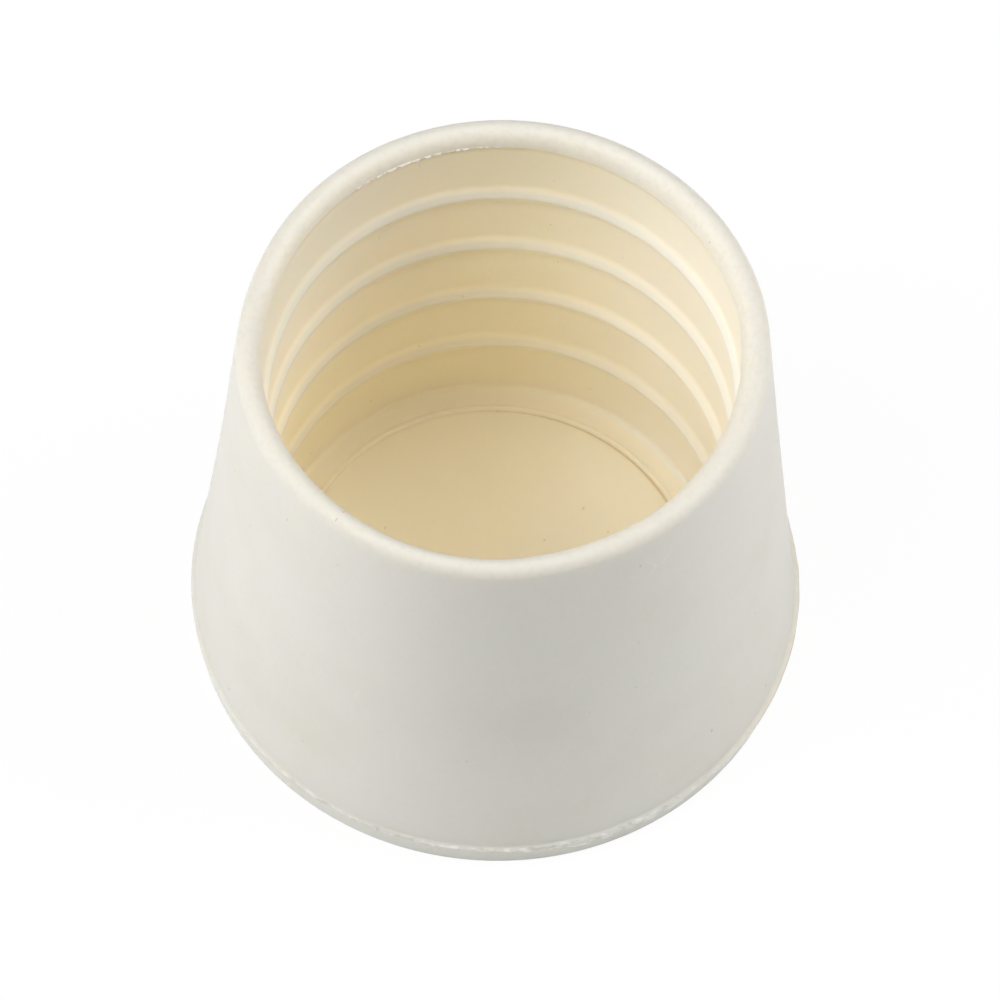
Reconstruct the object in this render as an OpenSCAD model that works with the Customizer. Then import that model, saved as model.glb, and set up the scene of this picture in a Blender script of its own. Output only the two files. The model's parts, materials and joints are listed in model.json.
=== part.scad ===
// Rubber foot for the end of a round leg or tube.
// One moulded piece: a flared cup with a rolled rim, a ribbed socket and a flat tread.
// It stands on its tread at z = 0, with the axis of the leg along +Z.

/* [Foot] */
// Thickness of the wall at the foot band, which sets how wide the foot stands
foot_t = 5.15; // [4.2:0.05:12]
// Radius of the edge between the tread and the foot band
tread_edge_r = 0.2; // [0.1:0.05:1.2]
// Height of the mould's parting line above the ground
foot_band_h = 2.2; // [1.6:0.1:5]
// How far the flash at the parting line stands out from the foot
flash_out = 0.45; // [0.1:0.05:0.8]
// Thickness of that flash where it leaves the wall
flash_t = 0.5; // [0.2:0.05:1]

/* [Outer wall] */
// Overall height
height = 36; // [34:0.5:60]
// Thickness of the wall at the mouth, which the rim rounds over
rim_t = 1.7; // [1.4:0.1:4]
// How far the flared side bows in from a straight cone
wall_bow = 0.05; // [0:0.05:0.6]

/* [Socket] */
// Diameter of the socket between its ribs
bore_d = 32.7; // [26:0.1:34]
// Number of grip ribs
rib_count = 4; // [1:1:4]
// Distance from one rib to the next
rib_pitch = 6.65; // [3:0.05:7.6]
// Depth of the first rib's lower edge below the top of the rim
first_rib_depth = 7.6; // [4:0.1:9]
// How far a rib stands in from the wall of the socket
rib_out = 0.45; // [0.2:0.05:0.9]
// Height of a rib's sloping upper face, which guides the leg in
rib_lead_h = 0.75; // [0.3:0.05:1.5]
// Height of a rib's crest, which grips the leg
rib_crest_h = 0.3; // [0.1:0.05:0.8]
// Height of a rib's steep lower face
rib_under_h = 0.35; // [0.1:0.05:0.8]

/* [Socket floor] */
// Thickness of the rubber under the leg
floor_t = 2.2; // [2:0.1:5]
// Radius of the fillet between the socket wall and its floor
floor_fillet_r = 0.4; // [0.2:0.1:1.5]
// Distance from the socket wall in to the seam that the mould's core pad leaves on the floor
seam_in = 1.95; // [1.8:0.05:6]
// Width of that seam
seam_w = 0.35; // [0.1:0.05:0.8]
// Height of that seam
seam_h = 0.1; // [0.05:0.05:0.5]

/* [Hidden] */

// Straight segments in each curved stretch of the section, half of the rim being one
edge_steps = 5;
side_steps = 12;
rim_steps = 7;
fillet_steps = 4;
$fn = 144;

bore_r = bore_d / 2;
base_r = bore_r + foot_t;
crest_r = bore_r - rib_out;
seam_r = bore_r - seam_in;
rim_r = rim_t / 2;
// The rim's round is centred over the middle of the wall
rim_mid_r = bore_r + rim_r;
rim_mid_z = height - rim_r;
flash_top_z = foot_band_h + flash_t / 2;
flash_low_z = foot_band_h - flash_t / 2;
// Lean of the flared side just under the rim, where the round takes over from it
side_run = foot_t - rim_t;
side_rise = rim_mid_z - flash_top_z;
side_lean = atan((side_run - 4 * wall_bow) / side_rise);
side_end_r = rim_mid_r + rim_r * cos(side_lean);
side_end_z = rim_mid_z + rim_r * sin(side_lean);

// Points on an arc, from one angle to another
function arc(cx, cy, r, from, to, steps) =
    [for (i = [0 : steps]) let (a = from + (to - from) * i / steps) [cx + r * cos(a), cy + r * sin(a)]];

// The rounded edge of the tread, then the foot band up to the flash
function foot_section() = concat(
    arc(base_r - tread_edge_r, tread_edge_r, tread_edge_r, -90, 0, edge_steps),
    [[base_r, flash_low_z], [base_r + flash_out, foot_band_h]]);

// The flared side from the flash to the rim, bowed inwards as a parabola
function side_section() =
    [for (i = [0 : side_steps - 1]) let (k = i / side_steps)
        [base_r + (side_end_r - base_r) * k - 4 * wall_bow * k * (1 - k),
         flash_top_z + (side_end_z - flash_top_z) * k]];

// The rolled rim, from the flared side up to its top and down to the socket wall
function rim_section() = concat(
    arc(rim_mid_r, rim_mid_z, rim_r, side_lean, 90, rim_steps),
    arc(rim_mid_r, rim_mid_z, rim_r, 90 + 90 / rim_steps, 180, rim_steps - 1));

// One grip rib, from its upper end down, for the height of its crest's lower edge
function rib_section(z) = [
    [bore_r, z + rib_crest_h + rib_lead_h],
    [crest_r, z + rib_crest_h],
    [crest_r, z],
    [bore_r, z - rib_under_h]];

// All grip ribs from the mouth down
function ribs_section() =
    [for (i = [0 : rib_count - 1]) each rib_section(height - first_rib_depth - i * rib_pitch)];

// The fillet at the foot of the socket, then the floor with its seam, in to the axis
function floor_section() = concat(
    arc(bore_r - floor_fillet_r, floor_t + floor_fillet_r, floor_fillet_r, 0, -90, fillet_steps),
    [[seam_r + seam_w / 2, floor_t], [seam_r, floor_t + seam_h], [seam_r - seam_w / 2, floor_t], [0, floor_t]]);

module rubber_foot() {
    color("#ece6d8")
    rotate_extrude()
    polygon(concat([[0, 0]], foot_section(), side_section(), rim_section(), ribs_section(), floor_section()));
}

rubber_foot();
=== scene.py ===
"""Looks of a rubber foot for the end of a round leg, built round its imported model.

The foot is one moulded piece. Its skin is a finely stepped section turned about the axis by
Geometry Nodes, with softened ribs and corners. The thin torn flash that moulding leaves at the
parting line and round the mouth is turned by the same tree. The sizes below are in millimetres, and
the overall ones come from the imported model.
"""

from __future__ import annotations

import json
import logging
import math
from dataclasses import dataclass, field
from enum import Enum
from typing import Any

import bpy
from mathutils import Matrix, Vector

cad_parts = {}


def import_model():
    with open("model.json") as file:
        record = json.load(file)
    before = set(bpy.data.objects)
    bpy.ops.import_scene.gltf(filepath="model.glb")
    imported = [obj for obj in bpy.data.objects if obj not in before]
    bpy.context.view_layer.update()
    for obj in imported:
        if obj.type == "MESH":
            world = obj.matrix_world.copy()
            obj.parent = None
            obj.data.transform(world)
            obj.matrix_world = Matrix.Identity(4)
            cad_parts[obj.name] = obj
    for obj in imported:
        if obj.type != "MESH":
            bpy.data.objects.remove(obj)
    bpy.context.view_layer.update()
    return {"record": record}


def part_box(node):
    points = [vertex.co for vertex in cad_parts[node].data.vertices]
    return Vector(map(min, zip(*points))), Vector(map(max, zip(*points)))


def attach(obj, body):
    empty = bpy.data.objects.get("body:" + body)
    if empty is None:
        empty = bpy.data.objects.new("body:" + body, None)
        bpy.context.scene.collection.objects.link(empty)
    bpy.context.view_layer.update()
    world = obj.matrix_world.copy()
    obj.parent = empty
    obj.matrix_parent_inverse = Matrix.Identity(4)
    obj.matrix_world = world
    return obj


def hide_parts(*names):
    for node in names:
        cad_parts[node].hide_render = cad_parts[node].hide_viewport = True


LOG = logging.getLogger("rubber_foot")
MM = 0.001
BODY = "root"
NODE = "rubber_foot"

Point = tuple[float, float]
Colour = tuple[float, float, float, float]


def srgb(red: int, green: int, blue: int) -> Colour:
    """Turns a screen colour into the linear one that a socket takes.

    Args:
        red: Red from 0 to 255.
        green: Green from 0 to 255.
        blue: Blue from 0 to 255.

    Returns:
        Linear red, green, blue and an alpha of 1.
    """
    shares = [channel / 255 for channel in (red, green, blue)]
    linear = [s / 12.92 if s <= 0.04045 else ((s + 0.055) / 1.055) ** 2.4 for s in shares]
    return (linear[0], linear[1], linear[2], 1.0)


class Value:
    """A number in a node tree. Arithmetic on it adds Math nodes."""

    def __init__(self, tree: Tree, socket: bpy.types.NodeSocket) -> None:
        """Wraps a socket.

        Args:
            tree: The tree that the socket is in.
            socket: The output that carries the number.
        """
        self.tree = tree
        self.socket = socket

    def _math(self, operation: str, *terms: Any) -> Value:
        """Adds one Math node.

        Args:
            operation: The node's operation.
            terms: Its inputs in order, each a number, a Value or a socket.

        Returns:
            The node's result.
        """
        inputs = dict(enumerate(terms))
        return self.tree.value("ShaderNodeMath", {"operation": operation}, inputs)

    def __add__(self, other: Any) -> Value:
        """This plus other."""
        return self._math("ADD", self, other)

    def __radd__(self, other: Any) -> Value:
        """Other plus this."""
        return self._math("ADD", other, self)

    def __sub__(self, other: Any) -> Value:
        """This less other."""
        return self._math("SUBTRACT", self, other)

    def __rsub__(self, other: Any) -> Value:
        """Other less this."""
        return self._math("SUBTRACT", other, self)

    def __mul__(self, other: Any) -> Value:
        """This times other."""
        return self._math("MULTIPLY", self, other)

    def __truediv__(self, other: Any) -> Value:
        """This over other."""
        return self._math("DIVIDE", self, other)

    def power(self, exponent: float) -> Value:
        """This to a power."""
        return self._math("POWER", self, exponent)

    def cosine(self) -> Value:
        """The cosine of this angle in radians."""
        return self._math("COSINE", self)

    def sine(self) -> Value:
        """The sine of this angle in radians."""
        return self._math("SINE", self)

    def direction(self, north: Any) -> Value:
        """The angle in radians of the point that lies this far east and so far north."""
        return self._math("ARCTAN2", north, self)

    def modulo(self, step: float) -> Value:
        """What is left of this after whole steps, with this one's sign."""
        return self._math("MODULO", self, step)

    def at_most(self, high: float) -> Value:
        """This, or high where this is more."""
        return self._math("MINIMUM", self, high)

    def ramp(self, start: Any, end: Any) -> Value:
        """Rises smoothly from 0 where this is start to 1 where it is end.

        Args:
            start: The value that gives 0.
            end: The value that gives 1. Where both are numbers it may be under start.

        Returns:
            The share, held between 0 and 1.
        """
        falls = not isinstance(start, Value) and start > end
        low, high = (end, start) if falls else (start, end)
        share = self.tree.value("ShaderNodeMapRange", {"interpolation_type": "SMOOTHSTEP"}, {
            "Value": self, "From Min": low, "From Max": high})
        return 1 - share if falls else share


class Tree:
    """A node tree and the one way in which this script adds nodes to it."""

    def __init__(self, nodes: bpy.types.NodeTree) -> None:
        """Takes a shader or geometry tree and empties it.

        Args:
            nodes: The tree to fill.
        """
        self.nodes = nodes
        nodes.nodes.clear()

    def node(self, kind: str, settings: dict[str, Any] | None = None,
             inputs: dict[Any, Any] | None = None) -> bpy.types.Node:
        """Adds a node.

        Args:
            kind: The node's type.
            settings: Its properties, which are set before its sockets.
            inputs: What each socket holds, by name or number: a plain value, a Value or a socket.

        Returns:
            The node.
        """
        made = self.nodes.nodes.new(kind)
        for name, setting in (settings or {}).items():
            setattr(made, name, setting)
        for key, held in (inputs or {}).items():
            socket = made.inputs[key]
            if isinstance(held, Value):
                self.nodes.links.new(held.socket, socket)
            elif isinstance(held, bpy.types.NodeSocket):
                self.nodes.links.new(held, socket)
            else:
                socket.default_value = held
        return made

    def value(self, kind: str, settings: dict[str, Any] | None = None,
              inputs: dict[Any, Any] | None = None, output: Any = 0) -> Value:
        """Adds a node and wraps one of its outputs.

        Args:
            kind: The node's type.
            settings: Its properties.
            inputs: Its sockets.
            output: The output's name or number.

        Returns:
            That output as a number.
        """
        return Value(self, self.node(kind, settings, inputs).outputs[output])


@dataclass(frozen=True)
class Places:
    """Radii and heights in millimetres at which the finish changes, from the foot's sizes."""

    crest: float
    wall: float
    foot: float
    band: float
    mouth: float
    floor: float
    first_rib: float
    rib_pitch: float


@dataclass(frozen=True)
class RubberFinish:
    """Off-white moulded rubber, chalky outside and creamier down the socket, where its colour is also lifted
    and warmed as painted bounce light and glow.

    Lengths are in millimetres, and a share is how strongly one layer covers those under it.
    """

    name: str = "natural_rubber"
    outside: Colour = srgb(209, 207, 199)
    foot_band: Colour = srgb(217, 215, 206)
    rim_top: Colour = srgb(212, 209, 199)
    rim_inner: Colour = srgb(226, 222, 211)
    # Socket colours: creamier rubber, lifted brighter and warmer than the outside and yellower with depth, as
    # painted bounce light and glow through the wall.
    socket_top_cream_and_painted_light: Colour = srgb(251, 241, 220)
    socket_deep_cream_and_painted_light: Colour = srgb(253, 240, 207)
    socket_floor_cream_and_painted_light: Colour = srgb(251, 237, 210)
    # Rib colours: paler, less creamy rubber, and painted shade that dims the ribs' lit faces, most on the
    # west ribs.
    rib: Colour = srgb(232, 228, 214)
    rib_west_painted_shade: Colour = srgb(219, 215, 203)
    # Painted light on the strip under each rib, where the rib's shadow falls.
    under_rib_painted_light: Colour = srgb(255, 251, 222)
    # Painted light: a paler colour on the socket's east wall.
    east_painted_light: Colour = srgb(241, 242, 239)
    # Painted shade on the socket's west wall near the mouth.
    west_painted_shade: Colour = srgb(225, 222, 208)
    # Painted shade in the groove of the seam on the socket floor.
    painted_groove_shade: Colour = srgb(224, 206, 168)
    flash: Colour = srgb(214, 209, 197)
    fleck: Colour = srgb(238, 237, 231)
    cloud: Colour = srgb(199, 194, 182)
    mottle: Colour = srgb(188, 184, 172)
    speck: Colour = srgb(158, 152, 140)
    scratch: Colour = srgb(228, 227, 221)
    roughness: float = 0.56
    roughness_spread: float = 0.12
    refraction: float = 1.5
    softness: float = 0.35
    soft_depth: float = 2.5
    relief_strength: float = 0.3
    relief_depth: float = 0.06
    depth_of_change: float = 28.0
    tread_low: float = 0.8
    tread_high: float = 1.4
    unrolling_radius: float = 20.0
    cloud_share: float = 0.35
    scratch_share: float = 0.3
    edge_painted_shade_share: float = 0.5
    fleck_share: float = 0.6
    gap_share: float = 0.35
    grain_share: float = 0.06
    rim_grain_share: float = 0.09
    under_rib_painted_light_share: float = 0.95
    east_painted_light_share: float = 0.5
    west_painted_shade_share: float = 0.8
    speck_share: float = 0.5
    speck_share_lost_inside: float = 0.27

    def build(self, at: Places) -> bpy.types.Material:
        """Makes the material.

        Args:
            at: Where the finish changes.

        Returns:
            A material on Object coordinates, with its colour, gloss and grain from nodes.
        """
        material = bpy.data.materials.new(self.name)
        material.use_nodes = True
        RubberShader(self, at, Tree(material.node_tree)).wire()
        return material


class RubberShader:
    """The finish's node tree, with one method for each part of the foot that has a look of its own."""

    def __init__(self, finish: RubberFinish, at: Places, tree: Tree) -> None:
        """Reads where a point of the rubber lies, and lays out the marks that several layers share.

        Args:
            finish: The colours and shares.
            at: Where the finish changes.
            tree: The empty tree.
        """
        self.finish = finish
        self.at = at
        self.tree = tree
        self.place = tree.node("ShaderNodeTexCoord").outputs["Object"]
        split = tree.node("ShaderNodeSeparateXYZ", inputs={0: self.place})
        self.east, self.north, self.up = (Value(tree, split.outputs[k]) for k in range(3))
        self.radius = (self.east * self.east + self.north * self.north).power(0.5) / MM
        self.height = self.up / MM
        self.eastward = self.east / MM / self.radius
        self.southward = 0 - self.north / MM / self.radius
        self.inside = self._inside()
        self.on_floor = self.radius.ramp(at.crest, at.crest - 0.2)
        self.flat = self._unrolled()
        self.cloudy = self._noise(self.place, 90.0, 3.0)
        self.scratch = self._scratches() * (1 - self.inside)
        self.speck = (self._pits(250.0, 0.028, 0.8) + self._pits(140.0, 0.02, 0.84)).at_most(1.0)

    def wire(self) -> None:
        """Lays the colours over each other and adds the fine relief, the gloss and the shader itself."""
        finish, tree = self.finish, self.tree
        colour = self._rim(self._foot(self._side()))
        colour = self._mix(self.inside, colour, self._socket())
        specks = self.speck * (finish.speck_share - self.inside * finish.speck_share_lost_inside)
        colour = self._mix(specks, colour, finish.speck)
        relief = self._noise(self.place, 2600.0, 2.0) * 0.3 + self._noise(self.place, 700.0, 2.0) * 0.5
        relief = relief - self.speck * 1.2 - self.scratch * 0.3
        bump = tree.node("ShaderNodeBump", inputs={
            "Strength": finish.relief_strength, "Distance": finish.relief_depth * MM, "Height": relief})
        gloss = finish.roughness + (self.cloudy - 0.5) * finish.roughness_spread
        shader = tree.node("ShaderNodeBsdfPrincipled", inputs={
            "Base Color": colour, "Roughness": gloss, "Normal": bump.outputs[0],
            "IOR": finish.refraction, "Subsurface Weight": finish.softness,
            "Subsurface Scale": finish.soft_depth * MM, "Subsurface Radius": (1.0, 0.75, 0.45)})
        tree.node("ShaderNodeOutputMaterial", inputs={"Surface": shader.outputs[0]})

    def _inside(self) -> Value:
        """Marks the socket's wall and floor.

        Returns:
            1 in the socket and 0 on the rim, the outside and the tread.
        """
        at = self.at
        within = self.radius.ramp(at.wall + 0.85, at.wall + 0.65)
        under_the_rim = self.height.ramp(at.mouth + 0.1, at.mouth - 0.15)
        return within * under_the_rim * self.height.ramp(self.finish.tread_low, self.finish.tread_high)

    def _side(self) -> bpy.types.NodeSocket:
        """Colours the flared side, which is a little cloudy and has a few pale scuffs.

        Returns:
            The colour.
        """
        finish = self.finish
        clouds = self.cloudy.ramp(0.42, 0.78) * finish.cloud_share
        colour = self._mix(clouds, finish.outside, finish.cloud)
        return self._mix(self.scratch * finish.scratch_share, colour, finish.scratch)

    def _foot(self, colour: bpy.types.NodeSocket) -> bpy.types.NodeSocket:
        """Colours the foot band and the flash over it, yellower to the east and flecked to the south, with a
        line of painted shade along the flash's outer edge to the east.

        Args:
            colour: The colour so far.

        Returns:
            The colour with the foot's own.
        """
        finish, edge = self.finish, self.at.foot
        band = self.height.ramp(self.at.band - 0.05, self.at.band - 0.2)
        colour = self._mix(band, colour, finish.foot_band)
        # A darker, yellower tone on the flash to the east.
        east_flash_tone = self.radius.ramp(edge, edge + 0.15) * self.eastward.ramp(0.7, 0.95)
        colour = self._mix(east_flash_tone, colour, finish.flash)
        # Painted shade: a dark line along the flash's outer edge on the east side.
        line = self.radius.ramp(edge + 0.36, edge + 0.43) * self.eastward.ramp(0.8, 0.95)
        colour = self._mix(line * finish.edge_painted_shade_share, colour, finish.speck)
        stretched = self.tree.node("ShaderNodeVectorMath", {"operation": "MULTIPLY"}, {
            0: self.flat, 1: (0.22, 1.0, 1.0)})
        streak = self._noise(stretched.outputs[0], 6000.0, 4.0)
        ridge = self.radius.ramp(edge + 0.08, edge + 0.2) * (self.southward.ramp(0.55, 0.95) * 0.85 + 0.15)
        colour = self._mix(ridge * streak.ramp(0.49, 0.66) * finish.fleck_share, colour, finish.fleck)
        return self._mix(ridge * streak.ramp(0.46, 0.36) * finish.gap_share, colour, finish.speck)

    def _rim(self, colour: bpy.types.NodeSocket) -> bpy.types.NodeSocket:
        """Colours the rolled rim, and lays a fine mottle over all of the outside.

        Args:
            colour: The colour so far.

        Returns:
            The colour with the rim's own.
        """
        finish, at = self.finish, self.at
        top = self.height.ramp(at.mouth - 0.1, at.mouth + 0.7)
        colour = self._mix(top, colour, finish.rim_top)
        roll = self.radius.ramp(at.wall + 0.9, at.wall) * self.height.ramp(at.mouth - 1.0, at.mouth)
        colour = self._mix(roll, colour, finish.rim_inner)
        grain = self._noise(self.place, 2300.0, 3.0).ramp(0.44, 0.7)
        return self._mix(grain * (top * finish.rim_grain_share + finish.grain_share), colour, finish.mottle)

    def _socket(self) -> bpy.types.NodeSocket:
        """Colours the socket, lifted and warmed as painted bounce light, with painted light to the east,
        painted shade at the west mouth and in the groove.

        Returns:
            The colour.
        """
        finish, floor = self.finish, self.at.floor
        depth = ((self.at.mouth - self.height) / finish.depth_of_change).ramp(-0.1, 1.0)
        low_down = self.height.ramp(floor + 2.0, floor + 0.8)
        # Painted light: the socket's colour is lifted, and turns yellower with depth as bounce light does.
        colour = self._mix(depth, finish.socket_top_cream_and_painted_light, finish.socket_deep_cream_and_painted_light)
        colour = self._mix(low_down * 0.5 + self.on_floor * 0.5, colour, finish.socket_floor_cream_and_painted_light)
        colour = self._ribs(colour, depth, low_down)
        # Painted light: the east wall of the socket is paler and less creamy, as where a lamp shines straight
        # on it, and less so on the floor.
        east_painted_light = self.eastward.ramp(-0.1, 0.9) * (finish.east_painted_light_share - self.on_floor * 0.35)
        colour = self._mix(east_painted_light, colour, finish.east_painted_light)
        # Painted shade: darker on the west wall of the socket near the mouth.
        west_painted_shade = (0 - self.eastward).ramp(0.1, 0.9) * (1 - depth) * finish.west_painted_shade_share
        colour = self._mix(west_painted_shade, colour, finish.west_painted_shade)
        # Painted shade: darker in the seam's groove, below the socket floor.
        return self._mix(self.height.ramp(floor - 0.02, floor - 0.12), colour, finish.painted_groove_shade)

    def _ribs(self, colour: bpy.types.NodeSocket, depth: Value, low_down: Value) -> bpy.types.NodeSocket:
        """Colours the ribs, which are greyer than the wall, partly as painted shade on their lit faces, and
        paints light on the strip under each rib, where its shadow falls.

        Args:
            colour: The socket's colour so far.
            depth: 0 at the mouth and 1 at the floor.
            low_down: 1 at the fillet and 0 above it.

        Returns:
            The colour with the ribs' own.
        """
        finish, at = self.finish, self.at
        near_crest = self.radius.ramp(at.crest + 0.42, at.crest + 0.12)
        on_rib = near_crest * (1 - low_down) * self.height.ramp(at.mouth - 1.0, at.mouth - 2.0)
        # The rib tint is paler rubber and painted shade on the ribs' lit faces, with more painted shade on
        # the west ribs.
        rib = self._mix((0 - self.eastward).ramp(-0.2, 0.8), finish.rib, finish.rib_west_painted_shade)
        colour = self._mix(on_rib * (1 - depth * 0.55), colour, rib)
        # Painted light: a paler strip under each rib that lifts the rib's shadow.
        below = (at.first_rib + 0.05 - self.height).modulo(at.rib_pitch)
        painted_fill_under_rib = below.ramp(-0.05, 0.1) * below.ramp(1.1, 0.4)
        return self._mix(painted_fill_under_rib * finish.under_rib_painted_light_share, colour, finish.under_rib_painted_light)

    def _unrolled(self) -> bpy.types.NodeSocket:
        """Lays the wall out flat, so that a spot on it is whole, and keeps the floor as it is.

        Returns:
            The flat coordinates in metres.
        """
        around = self.east.direction(self.north) * (self.finish.unrolling_radius * MM)
        across = around + (self.east - around) * self.on_floor
        along = self.up + (self.north - self.up) * self.on_floor
        return self.tree.node("ShaderNodeCombineXYZ", inputs={0: across, 1: along, 2: 0.0}).outputs[0]

    def _pits(self, scale: float, size: float, rarity: float) -> Value:
        """Marks tiny pits of uneven size, a little taller than wide.

        Args:
            scale: Cells in a metre, each of which may hold one pit.
            size: The widest pit's radius as a share of a cell.
            rarity: The share of cells without a pit.

        Returns:
            1 in a pit and 0 elsewhere.
        """
        tree = self.tree
        stretched = tree.node("ShaderNodeVectorMath", {"operation": "MULTIPLY"}, {
            0: self.flat, 1: (1.0, 0.7, 1.0)})
        cells = tree.node("ShaderNodeTexVoronoi", {"voronoi_dimensions": "2D", "feature": "F1"}, {
            "Vector": stretched.outputs[0], "Scale": scale})
        random = tree.node("ShaderNodeSeparateXYZ", inputs={0: cells.outputs["Color"]})
        chosen = Value(tree, random.outputs[0]).ramp(rarity, rarity + 0.01)
        radius = (Value(tree, random.outputs[1]) * 0.6 + 0.4) * size
        return (Value(tree, cells.outputs["Distance"]) / radius).ramp(1.25, 0.6) * chosen

    def _scratches(self) -> Value:
        """Marks a few fine scuffs, which follow the level lines of a soft noise.

        Returns:
            1 on a scuff and 0 elsewhere.
        """
        field_of_lines = self._noise(self.place, 150.0, 0.0)
        off_line = (field_of_lines - 0.5) * (field_of_lines - 0.5)
        where = self._noise(self.place, 260.0, 1.0)
        return off_line.ramp(0.00001, 0.0) * where.ramp(0.63, 0.68)

    def _mix(self, share: Value, first: Any, second: Any) -> bpy.types.NodeSocket:
        """Mixes two colours.

        Args:
            share: How much of the second colour.
            first: The colour at 0, as a Colour or a socket.
            second: The colour at 1.

        Returns:
            The mixed colour.
        """
        mix = self.tree.node("ShaderNodeMix", {"data_type": "RGBA", "clamp_factor": True}, {
            0: share, 6: first, 7: second})
        return mix.outputs[2]

    def _noise(self, place: bpy.types.NodeSocket, scale: float, detail: float) -> Value:
        """Adds soft noise.

        Args:
            place: The coordinates in metres.
            scale: Waves in a metre.
            detail: How many finer layers it has.

        Returns:
            The noise, about 0.5 on average.
        """
        return self.tree.value("ShaderNodeTexNoise", inputs={
            "Vector": place, "Scale": scale, "Detail": detail})


@dataclass
class Section:
    """A section to turn about the axis, with how far the noise may push each of its points."""

    points: list[Point] = field(default_factory=list)
    pushes: list[Point] = field(default_factory=list)

    def add(self, point: Point, push: Point = (0.0, 0.0)) -> None:
        """Adds a point.

        Args:
            point: Its radius and height.
            push: How far it moves, in radius and height, where the noise is full.
        """
        self.points.append(point)
        self.pushes.append(push)

    def corner(self, before: Point, point: Point, after: Point, radius: float, steps: int) -> None:
        """Adds a corner rounded by an arc that touches both of its sides.

        Args:
            before: The point that the corner is reached from.
            point: The sharp corner.
            after: The point that it leads to.
            radius: The arc's radius.
            steps: How many stretches the arc has.
        """
        here = Vector(point)
        to_before = (Vector(before) - here).normalized()
        to_after = (Vector(after) - here).normalized()
        half = to_before.angle(to_after) / 2
        cut = radius / math.tan(half)
        centre = here + (to_before + to_after).normalized() * (radius / math.sin(half))
        start = here + to_before * cut - centre
        sweep = start.angle_signed(here + to_after * cut - centre)
        for step in range(steps + 1):
            turn = Matrix.Rotation(-sweep * step / steps, 2)
            self.add(tuple(centre + turn @ start))

    def arc(self, centre: Point, radius: float, start: float, end: float, steps: int) -> None:
        """Adds an arc.

        Args:
            centre: Its centre.
            radius: Its radius.
            start: The angle that it starts at, in degrees from straight out.
            end: The angle that it ends at.
            steps: How many stretches it has.
        """
        for step in range(steps + 1):
            angle = math.radians(start + (end - start) * step / steps)
            self.add((centre[0] + radius * math.cos(angle), centre[1] + radius * math.sin(angle)))


class Flash(Enum):
    """The places where the mould's parts met and left a thin torn edge."""

    TORN = "torn_flash"
    DOUBLE = "double_flash"
    MOUTH = "mouth_flash"


@dataclass(frozen=True)
class Ragged:
    """How torn an edge is round the foot.

    Noise of so many waves is pushed towards all or nothing by its gain. The edge is torn in full on its
    worst side, and away from it, past its reach in degrees, by the rest share alone.
    """

    waves: float = 1.0
    bias: float = 0.5
    gain: float = 1.0
    worst_side: float = 0.0
    reach: float = 180.0
    rest: float = 1.0
    seed: float = 0.0


@dataclass(frozen=True)
class Lean:
    """How the soft mouth sits a little out of round.

    The wall leans out by so many millimetres on one side, given in degrees, and less and less away from
    it until its reach. It starts at one height and is in full at another.
    """

    out: float = 0.56
    side: float = -132.0
    reach: float = 69.0
    start: float = 16.0
    full: float = 35.0


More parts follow.
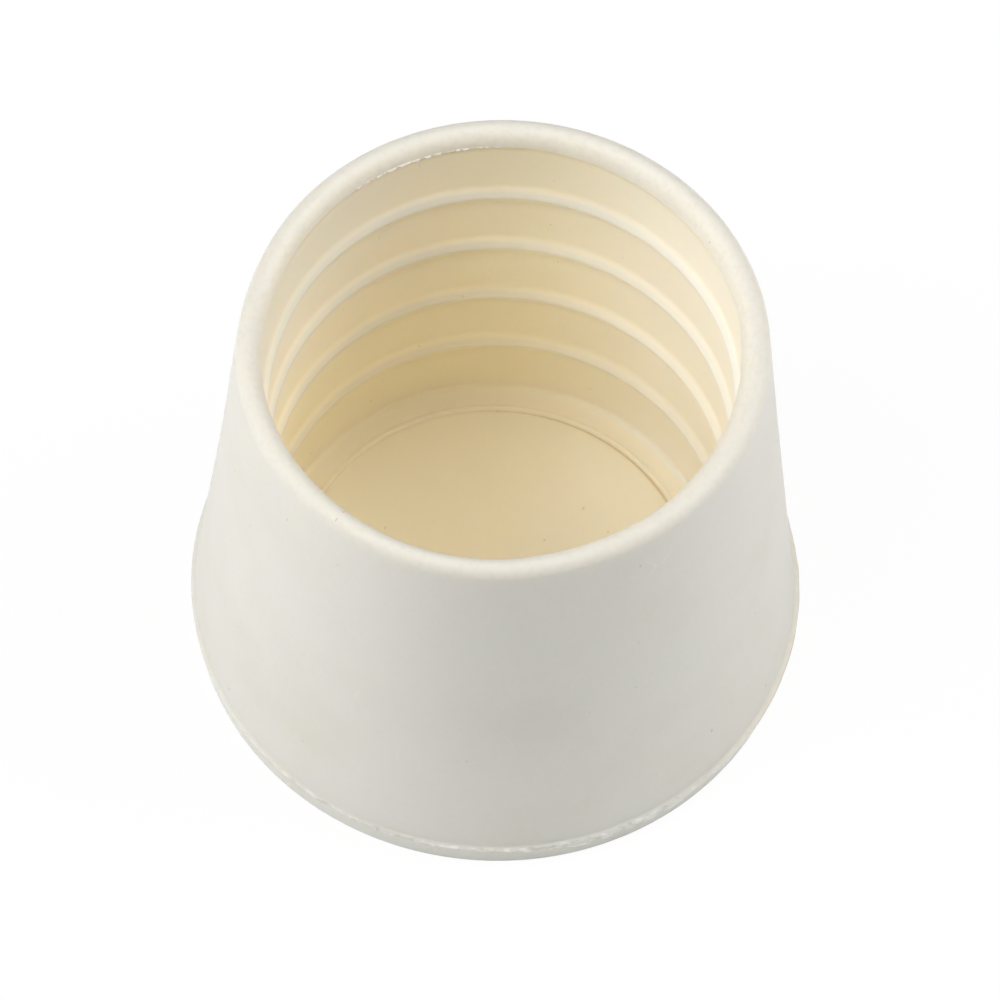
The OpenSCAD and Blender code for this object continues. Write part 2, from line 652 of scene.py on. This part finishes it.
class Lathe:
    """The Geometry Nodes tree that turns a section about the axis."""

    WELD = 0.0004 * MM
    INPUTS = {
        "Segments": "NodeSocketInt", "Waves": "NodeSocketFloat", "Bias": "NodeSocketFloat",
        "Gain": "NodeSocketFloat", "Worst side": "NodeSocketFloat", "Reach": "NodeSocketFloat",
        "Rest": "NodeSocketFloat", "Seed": "NodeSocketFloat", "Lean": "NodeSocketFloat",
        "Lean side": "NodeSocketFloat", "Lean reach": "NodeSocketFloat", "Lean start": "NodeSocketFloat",
        "Lean full": "NodeSocketFloat", "Material": "NodeSocketMaterial",
    }

    def __init__(self) -> None:
        """Builds the tree once for all the pieces that it turns."""
        group = bpy.data.node_groups.new("lathe", "GeometryNodeTree")
        group.interface.new_socket("Section", in_out="INPUT", socket_type="NodeSocketGeometry")
        self.sockets = {name: group.interface.new_socket(name, in_out="INPUT", socket_type=kind).identifier
                        for name, kind in self.INPUTS.items()}
        group.interface.new_socket("Turned", in_out="OUTPUT", socket_type="NodeSocketGeometry")
        self.group = group
        self._wire(Tree(group))

    def _wire(self, tree: Tree) -> None:
        """Adds the nodes.

        Args:
            tree: The empty tree.
        """
        given = tree.node("NodeGroupInput")
        section = given.outputs["Section"]
        asked = {name: Value(tree, given.outputs[name]) for name in self.INPUTS if name != "Material"}
        count = tree.value(
            "GeometryNodeAttributeDomainSize", {"component": "MESH"}, {0: section}, "Point Count")
        grid = tree.node("GeometryNodeMeshGrid", inputs={
            "Size X": 1.0, "Size Y": 1.0, "Vertices X": count, "Vertices Y": asked["Segments"] + 1})
        position = tree.node("GeometryNodeInputPosition").outputs[0]
        spot = tree.node("ShaderNodeSeparateXYZ", inputs={0: position})
        index = (Value(tree, spot.outputs["X"]) + 0.5) * (count - 1) + 0.25
        angle = (Value(tree, spot.outputs["Y"]) + 0.5) * math.tau
        pushed = tree.node("GeometryNodeInputNamedAttribute", {"data_type": "FLOAT_VECTOR"}, {"Name": "push"})
        here = self._sampled(tree, section, position, index)
        push = self._sampled(tree, section, pushed.outputs["Attribute"], index)

        round_trip = tree.node("ShaderNodeCombineXYZ", inputs={
            0: angle.cosine() * asked["Waves"], 1: angle.sine() * asked["Waves"], 2: 0.0})
        noise = tree.value("ShaderNodeTexNoise", {"noise_dimensions": "4D"}, {
            "Vector": round_trip.outputs[0], "W": asked["Seed"],
            "Scale": 1.0, "Detail": 4.0, "Roughness": 0.65})
        near = (angle - asked["Worst side"]).cosine().ramp(asked["Reach"].cosine(), 1.0)
        torn = ((noise - asked["Bias"]) * asked["Gain"] + 0.5).ramp(0.0, 1.0) * (
            asked["Rest"] + (1 - asked["Rest"]) * near)
        height = here[2] + push[2] * torn
        lean = asked["Lean"] * height.ramp(asked["Lean start"], asked["Lean full"]) * (
            angle - asked["Lean side"]).cosine().ramp(asked["Lean reach"].cosine(), 1.0)
        radius = here[0] + push[0] * torn + lean
        place = tree.node("ShaderNodeCombineXYZ", inputs={
            0: radius * angle.cosine(), 1: radius * angle.sine(), 2: height})
        turned = tree.node("GeometryNodeSetPosition", inputs={
            "Geometry": grid.outputs["Mesh"], "Position": place.outputs[0]})
        joined = tree.node("GeometryNodeMergeByDistance", inputs={
            "Geometry": turned.outputs[0], "Distance": self.WELD})
        smooth = tree.node("GeometryNodeSetShadeSmooth", inputs={"Geometry": joined.outputs[0]})
        real = tree.node("GeometryNodeRealizeInstances", inputs={"Geometry": smooth.outputs[0]})
        dressed = tree.node("GeometryNodeSetMaterial", inputs={
            "Geometry": real.outputs[0], "Material": given.outputs["Material"]})
        tree.node("NodeGroupOutput", inputs={0: dressed.outputs[0]})

    @staticmethod
    def _sampled(tree: Tree, section: bpy.types.NodeSocket, held: bpy.types.NodeSocket,
                 index: Value) -> list[Value]:
        """Reads a vector from the section's points.

        Args:
            tree: The tree to add to.
            section: The section's geometry.
            held: The vector on its points.
            index: Which point.

        Returns:
            The vector's three parts.
        """
        sample = tree.node("GeometryNodeSampleIndex", {"data_type": "FLOAT_VECTOR", "domain": "POINT"}, {
            "Geometry": section, "Value": held, "Index": index})
        parts = tree.node("ShaderNodeSeparateXYZ", inputs={0: sample.outputs[0]})
        return [Value(tree, part) for part in parts.outputs]

    def turn(self, name: str, section: Section, segments: int, ragged: Ragged, lean: Lean,
             material: bpy.types.Material) -> bpy.types.Object:
        """Turns a section into a plain closed mesh.

        Args:
            name: The piece's name.
            section: Its section in millimetres. It is closed, or both of its ends are on the axis.
            segments: How many faces go round.
            ragged: How torn its pushed points are.
            lean: How its upper part leans out on one side.
            material: Its finish.

        Returns:
            The piece, with its modifier already made real.
        """
        profile = bpy.data.meshes.new(name + "_section")
        points = [(r * MM, 0.0, z * MM) for r, z in section.points]
        edges = [(k, k + 1) for k in range(len(points) - 1)]
        profile.from_pydata(points, edges, [])
        push = profile.attributes.new("push", "FLOAT_VECTOR", "POINT")
        for k, (out, up) in enumerate(section.pushes):
            push.data[k].vector = (out * MM, 0.0, up * MM)
        blank = bpy.data.objects.new(name + "_section", profile)
        bpy.context.scene.collection.objects.link(blank)
        lathe = blank.modifiers.new("lathe", "NODES")
        lathe.node_group = self.group
        wanted = {
            "Segments": segments, "Waves": ragged.waves, "Bias": ragged.bias, "Gain": ragged.gain,
            "Worst side": math.radians(ragged.worst_side), "Reach": math.radians(ragged.reach),
            "Rest": ragged.rest, "Seed": ragged.seed, "Lean": lean.out * MM,
            "Lean side": math.radians(lean.side), "Lean reach": math.radians(lean.reach),
            "Lean start": lean.start * MM, "Lean full": lean.full * MM, "Material": material,
        }
        for title, held in wanted.items():
            lathe[self.sockets[title]] = held
        evaluated = blank.evaluated_get(bpy.context.evaluated_depsgraph_get())
        mesh = bpy.data.meshes.new_from_object(evaluated)
        blank.modifiers.remove(lathe)
        bpy.data.objects.remove(blank)
        mesh.name = name
        if self._volume(mesh) < 0:
            mesh.flip_normals()
        piece = bpy.data.objects.new(name, mesh)
        bpy.context.scene.collection.objects.link(piece)
        return piece

    @staticmethod
    def _volume(mesh: bpy.types.Mesh) -> float:
        """The signed volume of a closed mesh, which is negative where its faces point inwards."""
        mesh.calc_loop_triangles()
        at = [vertex.co for vertex in mesh.vertices]
        corners = (triangle.vertices for triangle in mesh.loop_triangles)
        return sum(at[a].dot(at[b].cross(at[c])) for a, b, c in corners) / 6


@dataclass
class RubberFoot:
    """The foot itself: its sizes in millimetres and the pieces of its skin.

    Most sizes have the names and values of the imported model's source. MOUTH_WALL, SEAM and EDGES hold
    points: how far each lies out from its root and above it, and then how far the noise pushes it. In
    EDGES the push is a share of that edge's reach, and how far the noise lifts the point follows it.
    """

    lathe: Lathe
    finish: RubberFinish
    height: float
    widest: float
    crest: float
    rib_out: float = 0.45
    foot_t: float = 5.15
    tread_edge_r: float = 0.2
    foot_band_h: float = 2.2
    flash_out: float = 0.28
    flash_t: float = 0.5
    rim_t: float = 1.7
    lip_out: float = 0.15
    lip_drop: float = 0.12
    mouth_depth: float = 1.2
    mouth_push: float = -0.3
    wall_bow: float = 0.05
    out_of_round: Lean = Lean()
    rib_count: int = 4
    rib_pitch: float = 6.65
    first_rib_depth: float = 7.6
    rib_lead_h: float = 0.75
    rib_crest_h: float = 0.3
    rib_under_h: float = 0.35
    rib_round: float = 0.7
    lead_round: float = 1.3
    under_round: float = 0.4
    floor_t: float = 2.2
    floor_fillet_r: float = 0.4
    seam_in: float = 1.95
    double_drop: float = 0.32
    double_past: float = 0.05
    mouth_flash_drop: float = 0.08
    mouth_flash_reach: float = -0.2
    segments: int = 448
    flash_segments: int = 1400

    TREAD_RINGS = (0.0, 0.35, 0.7)
    FLOOR_RINGS = (0.8, 0.55, 0.3, 0.0)
    FLASH_RISES = (-0.09, -0.03, 0.04)
    MOUTH_WALL = ((-0.01, -0.06, -0.29), (-0.03, -0.13, -0.28), (0.02, -0.2, -0.25), (0.0, -0.7, -0.14),
                  (0.0, -1.6, -0.04), (0.0, -2.6, 0.0))
    SEAM = ((0.45, 0.0, 0.0), (0.28, 0.04, 0.0), (0.14, 0.12, 0.03), (0.05, 0.16, 0.05), (-0.03, 0.15, 0.05),
            (-0.09, 0.06, 0.0), (-0.12, -0.02, -0.06), (-0.2, -0.05, -0.1), (-0.3, -0.02, -0.05),
            (-0.46, 0.0, 0.0))
    EDGES = {
        Flash.TORN: ((-0.15, 0.03, 0.0, 0.0), (-0.03, 0.0, 1.0, -0.03), (-0.05, -0.05, 1.0, -0.06),
                     (-0.2, -0.1, 0.0, 0.0)),
        Flash.DOUBLE: ((0.0, 0.1, 0.0, 0.0), (0.02, 0.03, 1.0, 0.02), (0.02, -0.03, 1.0, 0.0),
                       (0.0, -0.12, 0.0, 0.0)),
        Flash.MOUTH: ((0.15, 0.12, 0.0, 0.0), (0.01, 0.02, 1.0, 0.06), (0.01, -0.02, 1.0, 0.04),
                      (0.15, -0.1, 0.0, 0.0)),
    }
    SKIN_RAGGED = Ragged(waves=3.0, bias=0.35, gain=2.0, worst_side=0.0, reach=120.0, rest=0.1, seed=3.0)
    RAGGED = {
        Flash.TORN: Ragged(
            waves=46.0, bias=0.5, gain=7.0, worst_side=-92.0, reach=46.0, rest=0.15, seed=5.0),
        Flash.DOUBLE: Ragged(
            waves=9.0, bias=0.4, gain=4.0, worst_side=-62.0, reach=30.0, rest=0.0, seed=9.0),
        Flash.MOUTH: Ragged(
            waves=36.0, bias=0.46, gain=5.0, worst_side=112.0, reach=34.0, rest=0.1, seed=7.0),
    }

    @property
    def bore(self) -> float:
        """Radius of the socket between its ribs."""
        return self.crest + self.rib_out

    @property
    def base(self) -> float:
        """Radius of the foot band."""
        return self.bore + self.foot_t

    @property
    def places(self) -> Places:
        """Where the finish changes."""
        return Places(
            crest=self.crest, wall=self.bore + 0.1, foot=self.base, band=self.foot_band_h,
            mouth=self.height - self.mouth_depth, floor=self.floor_t,
            first_rib=self.height - self.first_rib_depth, rib_pitch=self.rib_pitch)

    @property
    def spare(self) -> float:
        """Room between the flash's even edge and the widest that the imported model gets."""
        return self.widest - self.base - self.flash_out

    @property
    def lean(self) -> float:
        """How far the side leans in where it meets the rim, in radians."""
        rise = self.height - self.rim_t / 2 - self.foot_band_h - self.flash_t / 2
        return math.atan((self.foot_t - self.rim_t - 4 * self.wall_bow) / rise)

    def skin_section(self) -> Section:
        """Draws the whole section from the middle of the tread round to the middle of the socket floor.

        Returns:
            The section, with both of its ends on the axis.
        """
        section = Section()
        for share in self.TREAD_RINGS:
            section.add((self.base * share, 0.0))
        low, top = self.foot_band_h - self.flash_t / 2, self.foot_band_h + self.flash_t / 2
        section.corner((0.0, 0.0), (self.base, 0.0), (self.base, low), self.tread_edge_r, 5)
        section.add((self.base, low - 0.08))
        section.add((self.base + 0.03, low))
        for rise in self.FLASH_RISES:
            tip = self.base + self.flash_out - 2 * rise * rise
            section.add((tip, self.foot_band_h + rise), (self.spare, 0.0))
        section.add((self.base + 0.12, self.foot_band_h + 0.12), (self.spare / 3, 0.0))
        section.add((self.base + 0.02, top))
        self._side(section, top + 0.1)
        self._rim(section)
        self._ribs(section)
        self._floor(section)
        return section

    def _side(self, section: Section, start: float) -> None:
        """Adds the flared side, which bows in a little.

        Args:
            section: The section to add to.
            start: The height that it starts at.
        """
        end_r = self.bore + self.rim_t / 2 * (1 + math.cos(self.lean))
        end_z = self.height - self.rim_t / 2 * (1 - math.sin(self.lean))
        steps = 26
        for step in range(steps):
            share = step / steps
            out = self.base + (end_r - self.base) * share - 4 * self.wall_bow * share * (1 - share)
            section.add((out, start + (end_z - start) * share))

    def _rim(self, section: Section) -> None:
        """Adds the rolled rim.

        Args:
            section: The section to add to.
        """
        half = self.rim_t / 2
        middle = (self.bore + half, self.height - half)
        section.arc(middle, half, math.degrees(self.lean), 90.0, 10)
        crease = self.height - self.mouth_depth
        steps = 9
        for step in range(1, steps + 1):
            share = step / steps
            weights = ((1 - share) ** 2, 2 * share * (1 - share), share ** 2)
            out = weights[0] * middle[0] + weights[1] * (self.bore + self.lip_out) + weights[2] * self.bore
            up = weights[0] * self.height + weights[1] * (self.height - self.lip_drop) + weights[2] * crease
            section.add((out, up), (self.mouth_push * weights[2], 0.0))
        for out, up, push in self.MOUTH_WALL:
            section.add((self.bore + out, crease + up), (push, 0.0))

    def _ribs(self, section: Section) -> None:
        """Adds the grip ribs from the mouth down, each with softened edges.

        Args:
            section: The section to add to.
        """
        lead_angle = math.atan2(self.rib_lead_h, self.rib_out)
        under_angle = math.atan2(self.rib_under_h, self.rib_out)
        half, tilt = (lead_angle + under_angle) / 2, (lead_angle - under_angle) / 2
        past = self.rib_round * (math.cos(tilt) / math.sin(half) - 1)
        drop = self.rib_round * math.sin(tilt) / math.sin(half)
        face = self.rib_out + past
        for rib in range(self.rib_count):
            foot = self.height - self.first_rib_depth - rib * self.rib_pitch
            tip = (self.crest - past, foot + self.rib_crest_h / 2 - drop)
            lead = (self.bore, tip[1] + face * math.tan(lead_angle))
            under = (self.bore, tip[1] - face * math.tan(under_angle))
            section.corner((self.bore, lead[1] + 1.0), lead, tip, self.lead_round, 5)
            section.corner(lead, tip, under, self.rib_round, 9)
            section.corner(tip, under, (self.bore, under[1] - 1.0), self.under_round, 4)
            section.add((self.bore, under[1] - 1.1))

    def _floor(self, section: Section) -> None:
        """Adds the fillet at the foot of the socket, and its floor with the seam of the mould's core.

        Args:
            section: The section to add to.
        """
        start = (self.bore, self.floor_t + 1.0)
        section.corner(start, (self.bore, self.floor_t), (0.0, self.floor_t), self.floor_fillet_r, 6)
        seam = self.bore - self.seam_in
        for out, up, push in self.SEAM:
            section.add((seam + out, self.floor_t + up), (0.0, push))
        for share in self.FLOOR_RINGS:
            section.add((self.bore * share, self.floor_t))

    def flash_section(self, place: Flash) -> Section:
        """Draws the closed section of a thin torn edge.

        Args:
            place: Which edge.

        Returns:
            The section, whose tip the noise pushes.
        """
        root, reach = {
            Flash.TORN: ((self.base + self.flash_out, self.foot_band_h), self.spare),
            Flash.DOUBLE: ((self.base - 0.1, self.foot_band_h - self.double_drop),
                           self.widest - self.base + self.double_past),
            Flash.MOUTH: ((self.bore, self.height - self.mouth_depth - self.mouth_flash_drop),
                          self.mouth_flash_reach),
        }[place]
        section = Section()
        for out, up, share, lift in self.EDGES[place]:
            section.add((root[0] + out, root[1] + up), (reach * share, lift))
        section.add(section.points[0])
        return section

    def build(self) -> list[bpy.types.Object]:
        """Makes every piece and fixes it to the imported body.

        Returns:
            The pieces.
        """
        material = self.finish.build(self.places)
        skin = self.lathe.turn(
            "foot_skin", self.skin_section(), self.segments, self.SKIN_RAGGED, self.out_of_round, material)
        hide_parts(NODE)
        pieces = [skin]
        for place in Flash:
            pieces.append(self.lathe.turn(
                place.value, self.flash_section(place), self.flash_segments, self.RAGGED[place],
                self.out_of_round, material))
        for piece in pieces:
            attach(piece, BODY)
            LOG.info("%s: %d faces", piece.name, len(piece.data.polygons))
        return pieces


@dataclass(frozen=True)
class Lamp:
    """A soft lamp that looks at the foot."""

    name: str
    watts: float
    azimuth: float
    elevation: float
    size: float = 0.4
    distance: float = 0.6


@dataclass
class Studio:
    """Floor, light and camera.

    The camera's distance, aside and above are in units of the foot band's radius, and its focal length is
    in pixels of a picture as wide as picture_width.
    """

    target: Vector
    base: float
    lamps: tuple[Lamp, ...] = (
        Lamp("right_lamp", watts=2.2, azimuth=100.0, elevation=52.0),
        Lamp("left_lamp", watts=2.5, azimuth=300.0, elevation=52.0),
        Lamp("low_left_lamp", watts=1.55, azimuth=270.0, elevation=20.0),
        Lamp("low_right_lamp", watts=1.0, azimuth=90.0, elevation=20.0),
        Lamp("top_lamp", watts=0.3, azimuth=0.0, elevation=88.0),
    )
    ambient: float = 0.045
    floor_half: float = 3.0
    floor_gap: float = 0.02
    floor_white: float = 0.94
    paper: Colour = (0.9, 0.9, 0.9, 1.0)
    white: Colour = (1.0, 1.0, 1.0, 1.0)
    elevation: float = 60.25
    roll: float = 2.79
    distance: float = 25.0
    focal: float = 7622.0
    aside: float = 0.0049
    above: float = 0.649
    sensor: float = 36.0
    picture_width: float = 1000.0

    def build(self) -> None:
        """Makes everything that isn't the object."""
        self._floor()
        self._world()
        for lamp in self.lamps:
            self._lamp(lamp)
        self._camera()
        bpy.context.scene.view_settings.view_transform = "Standard"

    def _floor(self) -> None:
        """Makes a wide pale floor a hair under the tread, white to the camera but for its shadow."""
        half, low = self.floor_half, -self.floor_gap * MM
        mesh = bpy.data.meshes.new("floor")
        corners = [(-half, -half, low), (half, -half, low), (half, half, low), (-half, half, low)]
        mesh.from_pydata(corners, [], [(0, 1, 2, 3)])
        floor = bpy.data.objects.new("floor", mesh)
        bpy.context.scene.collection.objects.link(floor)
        material = bpy.data.materials.new("pale_floor")
        material.use_nodes = True
        tree = Tree(material.node_tree)
        path = tree.node("ShaderNodeLightPath")
        seen = Value(tree, path.outputs["Is Camera Ray"]) * self.floor_white
        paper = tree.node("ShaderNodeBsdfDiffuse", inputs={"Color": self.paper})
        white = tree.node("ShaderNodeEmission", inputs={"Color": self.white, "Strength": 1.0})
        mixed = tree.node("ShaderNodeMixShader", inputs={0: seen, 1: paper.outputs[0], 2: white.outputs[0]})
        tree.node("ShaderNodeOutputMaterial", inputs={0: mixed.outputs[0]})
        mesh.materials.append(material)

    def _world(self) -> None:
        """Makes an even pale surround that shows white to the camera."""
        world = bpy.data.worlds.new("pale_surround")
        world.use_nodes = True
        bpy.context.scene.world = world
        tree = Tree(world.node_tree)
        path = tree.node("ShaderNodeLightPath")
        strength = Value(tree, path.outputs["Is Camera Ray"]) * (1.0 - self.ambient) + self.ambient
        back = tree.node("ShaderNodeBackground", inputs={"Color": self.white, "Strength": strength})
        tree.node("ShaderNodeOutputWorld", inputs={0: back.outputs[0]})

    def _lamp(self, lamp: Lamp) -> None:
        """Hangs one lamp.

        Args:
            lamp: Its size, power and place round the foot.
        """
        data = bpy.data.lights.new(lamp.name, "AREA")
        data.energy = lamp.watts
        data.size = lamp.size
        made = bpy.data.objects.new(lamp.name, data)
        around, up = math.radians(lamp.azimuth), math.radians(lamp.elevation)
        aim = Vector((math.sin(around) * math.cos(up), -math.cos(around) * math.cos(up), math.sin(up)))
        made.location = self.target + aim * lamp.distance
        made.rotation_euler = aim.to_track_quat("Z", "Y").to_euler()
        bpy.context.scene.collection.objects.link(made)

    def _camera(self) -> None:
        """Sets the camera at the photograph's viewing angle, with its long lens and slight roll."""
        up, roll = math.radians(self.elevation), math.radians(self.roll)
        view = Vector((0.0, math.cos(up), -math.sin(up)))
        level = Vector((0.0, math.sin(up), math.cos(up)))
        across = Vector((1.0, 0.0, 0.0))
        right = math.cos(roll) * across + math.sin(roll) * level
        top = -math.sin(roll) * across + math.cos(roll) * level
        place = (Vector((self.aside, 0.0, self.above)) - self.distance * view) * self.base
        data = bpy.data.cameras.new("camera")
        data.sensor_width = self.sensor
        data.lens = self.sensor * self.focal / self.picture_width
        camera = bpy.data.objects.new("camera", data)
        turn = Matrix((right, top, -view)).transposed().to_4x4()
        camera.matrix_world = Matrix.Translation(place) @ turn
        bpy.context.scene.collection.objects.link(camera)
        bpy.context.scene.camera = camera


def main() -> None:
    """Builds the foot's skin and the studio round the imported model."""
    logging.basicConfig(level=logging.INFO, format="%(name)s: %(message)s")
    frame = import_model()
    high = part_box(NODE)[1]
    socket = next(mount for mount in frame["record"]["mounts"] if mount["name"] == "leg_socket")
    foot = RubberFoot(
        Lathe(), RubberFinish(), height=high[2] / MM, widest=high[0] / MM, crest=socket["dims"]["r_mm"])
    foot.build()
    Studio(target=Vector((0.0, 0.0, high[2] / 2)), base=foot.base * MM).build()


if __name__ == "__main__":
    main()
